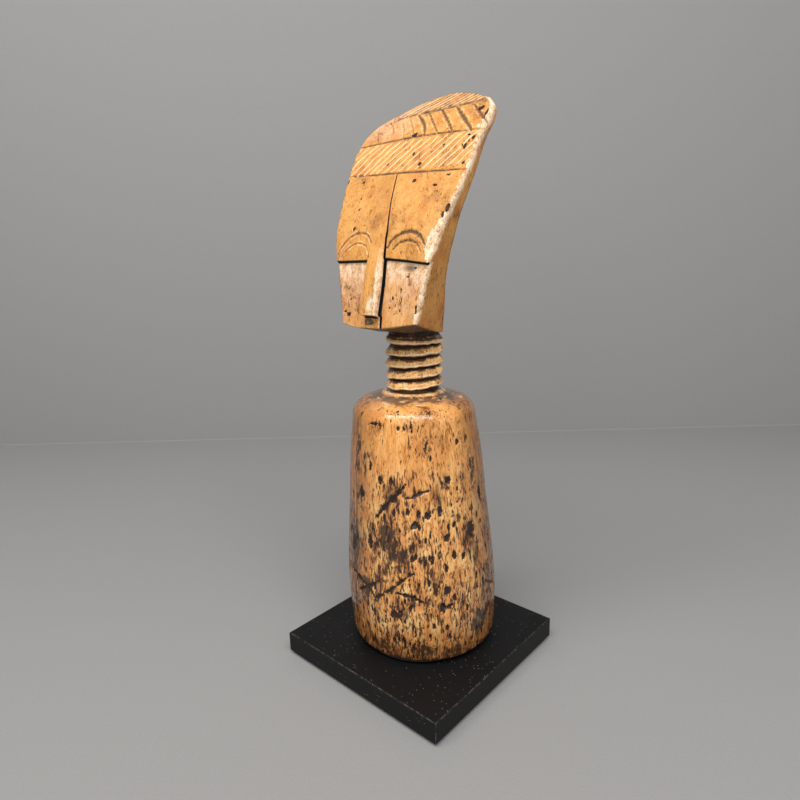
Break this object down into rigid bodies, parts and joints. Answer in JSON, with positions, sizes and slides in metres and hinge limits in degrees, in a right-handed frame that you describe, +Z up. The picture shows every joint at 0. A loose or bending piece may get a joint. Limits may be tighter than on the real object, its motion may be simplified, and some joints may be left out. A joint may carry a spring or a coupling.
{
  "type": "carved wooden doll on display stand",
  "caption": "Carved wooden doll with a long flat head, ringed neck and barrel body, lifting off the post of a square black display plate.",
  "frame": {"origin": "on the surface the pads stand on, under the middle of the plate", "axes": "+Z up, -Y the way the doll faces, +X to the doll's left hand"},
  "size_m": [0.12, 0.12, 0.3353],
  "materials": {
    "old_wood": "hand-carved and polished with long handling, pitted, dark in the hollows",
    "black_paint": "satin black paint over wood, worn on the arrises",
    "steel": "drawn and zinc plated",
    "felt": "pressed wool felt"
  },
  "bodies": {
    "stand": {"display_plate": "black_paint", "support_post": "steel", "post_washer": "steel", "post_nut": "steel", "pad_1": "felt", "pad_2": "felt", "pad_3": "felt", "pad_4": "felt"},
    "felt": {"felt_ring": "felt"},
    "doll": {"doll": "old_wood"}
  },
  "joints": [
    {"name": "doll_turn", "type": "hinge", "parent": "stand", "child": "felt", "pos_m": [0, 0, 0.0151], "axis": [0, 0, 1], "continuous": true},
    {"name": "doll_lift", "type": "slide", "parent": "felt", "child": "doll", "axis": [0, 0, 1], "range_m": [0, 0.045]}
  ]
}
